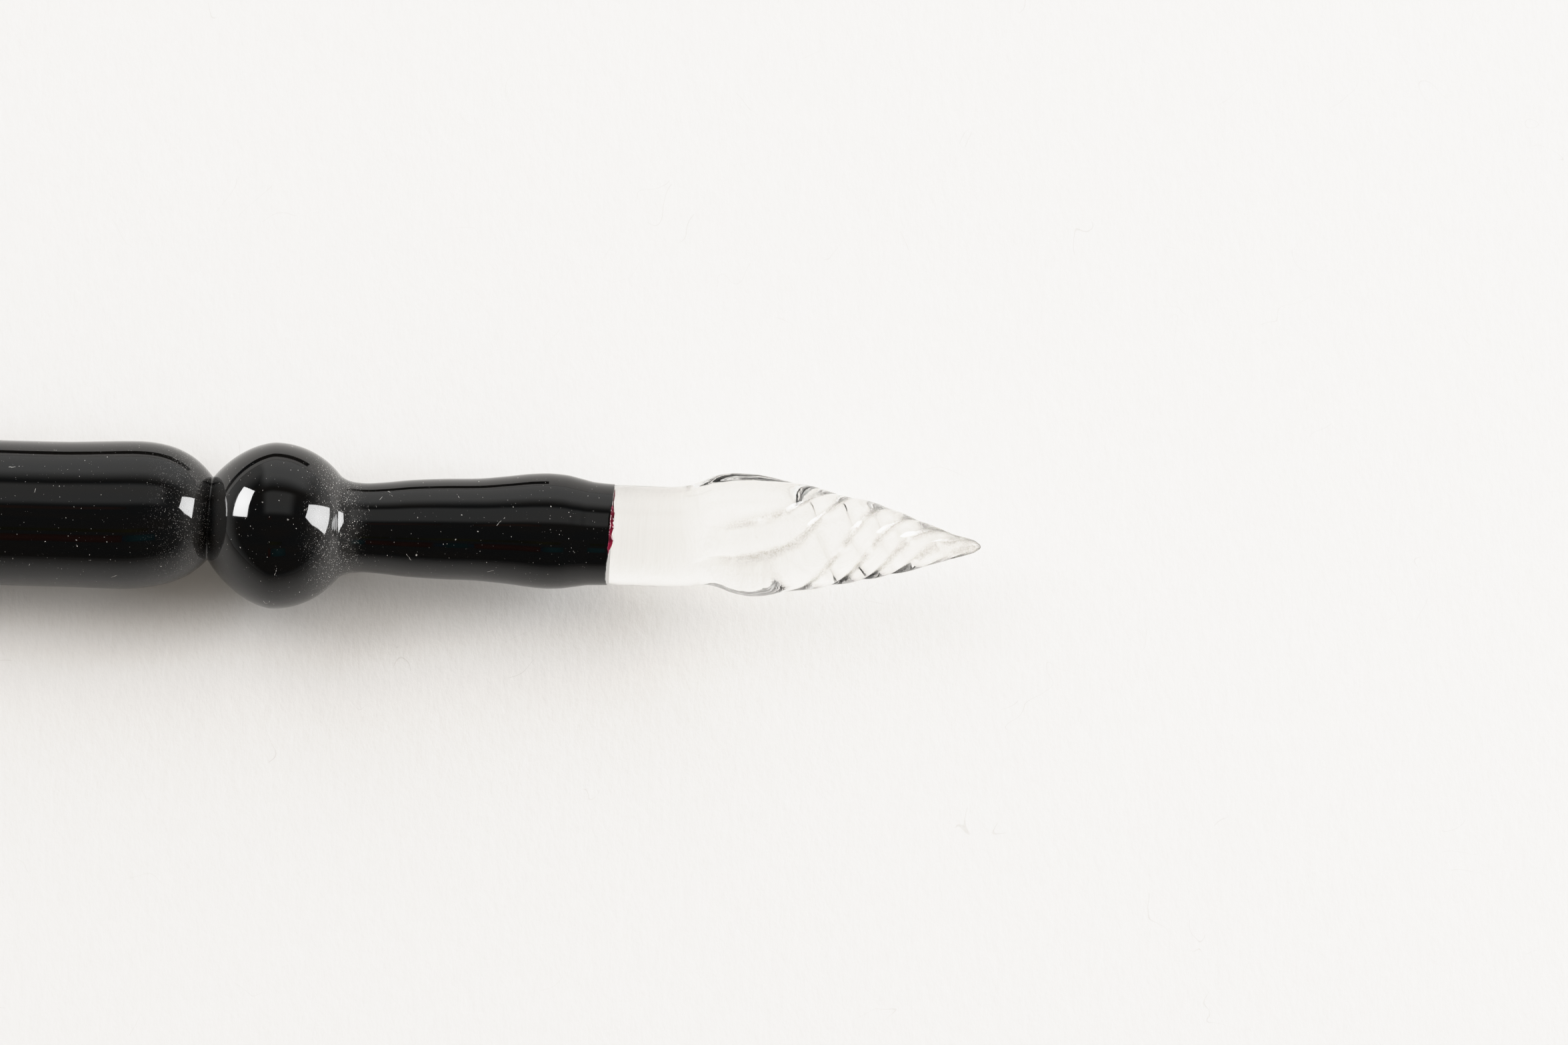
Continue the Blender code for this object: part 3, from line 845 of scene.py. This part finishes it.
# dim coloured things on the viewer's side, seen only in the black glass:
# name, x range, range of degrees from +Z towards -Y, colour
DIM_DISTANCE = 300.0
DIM_CARDS = (("dim_red", (55, 105), (46, 58), (0.150, 0.040, 0.025)),
             ("dim_teal", (116, 215), (46, 57), (0.030, 0.150, 0.170)),
             ("dim_blue", (106, 115), (47, 56), (0.035, 0.080, 0.130)),
             ("dim_olive", (60, 190), (36, 41), (0.085, 0.080, 0.020)),
             ("dim_rust", (30, 105), (2, 6), (0.160, 0.075, 0.055)))


def window_light(name, direction, size, watts):
    """Soft light that makes the shadows; the cards make its reflection."""
    data = bpy.data.lights.new(name, "AREA")
    data.shape, data.size, data.size_y = "RECTANGLE", size, size
    data.energy, data.color = watts, LIGHT_COLOUR
    direction = Vector(direction).normalized()
    pose = direction.to_track_quat("Z", "Y").to_matrix().to_4x4()
    pose.translation = LIGHTS_AIM + direction
    light = add_object(name, data)
    light.matrix_world = pose
    light.visible_camera = False
    light.visible_glossy = False
    light.visible_transmission = False


def mirrored(x, high):
    """The way a camera ray leaves the ball, struck at x and this many mm above
    its middle line in the view."""
    slope = (ball_radius(x + 0.01) - ball_radius(x - 0.01)) / 0.02
    turn = math.asin(high / ball_radius(x))
    normal = (Vector((-slope, 0.0, 0.0)) + math.sin(turn) * LEVEL_UP
              + math.cos(turn) * TO_CAMERA).normalized()
    return 2.0 * normal.dot(TO_CAMERA) * normal - TO_CAMERA


def card(name, corners, strength, falloff=0.0, colour=(1, 1, 1)):
    """A glowing panel that only reflections see, dimmer towards its corners."""
    middle = sum(corners, Vector()) / len(corners)
    mesh = bpy.data.meshes.new(name)
    mesh.from_pydata([c - middle for c in corners], [], [tuple(range(len(corners)))])
    material, graph, unused = new_material(name)
    graph.tree.nodes.remove(unused)
    size = max((c - middle).length for c in corners)
    place = graph.node("ShaderNodeTexCoord").outputs["Object"]
    length = graph.vector("LENGTH", place, (0.0, 0.0, 0.0), "Value")
    away = graph.math("DIVIDE", length, size, clamp=True)
    glow = graph.linear(away, times=-falloff * strength, plus=strength)
    emission = graph.node("ShaderNodeEmission",
                          {"Color": (*colour, 1.0), "Strength": glow})
    graph.surface(emission.outputs[0])
    mesh.materials.append(material)
    panel = add_object(name, mesh)
    panel.location = middle
    panel.visible_camera = False
    panel.visible_diffuse = False
    panel.visible_shadow = False
    panel.visible_transmission = False


def rectangle(across_range, up_range):
    """Its four corners, in order round it."""
    (left, right), (low, high) = across_range, up_range
    return (left, low), (right, low), (right, high), (left, high)


def reflections():
    for name, strength, falloff, seen in WINDOW_CARDS:
        card(name, [BALL_AT + mirrored(*place) for place in seen], strength, falloff)
    # a dark ruler standing on edge behind the pen
    card("dark_ruler", [Vector((x, RULER_Y, z)) * MM
                        for x, z in rectangle(RULER_X_RANGE, RULER_Z_RANGE)],
         strength=0.02)
    for name, x_range, tilt_range, colour in DIM_CARDS:
        corners = []
        for x, tilt in rectangle(x_range, tilt_range):
            tilt = math.radians(tilt)
            corners.append(Vector((x, -DIM_DISTANCE * math.sin(tilt),
                                   DIM_DISTANCE * math.cos(tilt))) * MM)
        card(name, corners, strength=1.0, falloff=0.6, colour=colour)


def studio():
    """A room that mirrors, clear glass, diffuse light and the camera each see apart."""
    world = bpy.data.worlds.new("studio")
    bpy.context.scene.world = world
    world.use_nodes = True
    graph = Graph(world.node_tree)
    way = graph.node("ShaderNodeTexCoord").outputs["Generated"]
    x, y, z = graph.axes(way)
    # degrees from straight up, positive towards +Y
    tilt = graph.times(graph.math("ARCTAN2", y, z), 180.0 / math.pi)
    wall = graph.times(graph.step(tilt, low=39.0, high=61.0),
                       graph.band(x, rise=(-0.57, -0.31), fall=(0.46, 0.86)))
    wall_all = graph.step(tilt, low=38.0, high=44.0)
    ceiling = graph.times(graph.band(tilt, rise=(-1.4, 7.8), fall=(31.0, 38.0)),
                          graph.band(x, rise=(-0.55, -0.29), fall=(0.32, 0.52)))
    ceiling_all = graph.band(tilt, rise=(-4.0, 4.0), fall=(30.0, 36.0))
    towards = graph.vector("DOT_PRODUCT", way, tuple(TO_CAMERA), "Value")
    away = graph.fall(towards, low=0.0, high=0.40)
    mirror_room = graph.math("ADD", graph.times(wall, 0.98),
                             graph.linear(ceiling, times=0.47, plus=0.055))
    mirror_room = graph.larger(mirror_room, graph.times(away, 0.58))
    fill_room = graph.math("ADD", graph.times(wall_all, 0.02),
                           graph.linear(ceiling_all, times=0.42, plus=0.275))
    clear_room = graph.linear(graph.larger(wall_all, ceiling_all), times=0.20, plus=0.70)
    ray = graph.light_path()

    def pick(flag, otherwise, value):
        return graph.node("ShaderNodeMix", {0: flag, 2: otherwise, 3: value},
                          data_type="FLOAT").outputs[0]

    def diffuse():
        return graph.math("GREATER_THAN", ray["Diffuse Depth"], 0.5)

    shown = pick(ray["Is Transmission Ray"], mirror_room, clear_room)
    shown = pick(diffuse(), shown, fill_room)
    shown = pick(ray["Is Camera Ray"], shown, BACKDROP)
    warm_fill = (1.05, 0.94, 0.83, 1.0)
    graph.feed(graph.tree.nodes["Background"], {
        "Strength": shown, "Color": graph.mix(diffuse(), BACKDROP_COLOUR, warm_fill)})


for window in WINDOW_LIGHTS:
    window_light(*window)
reflections()
studio()

bpy.context.view_layer.update()
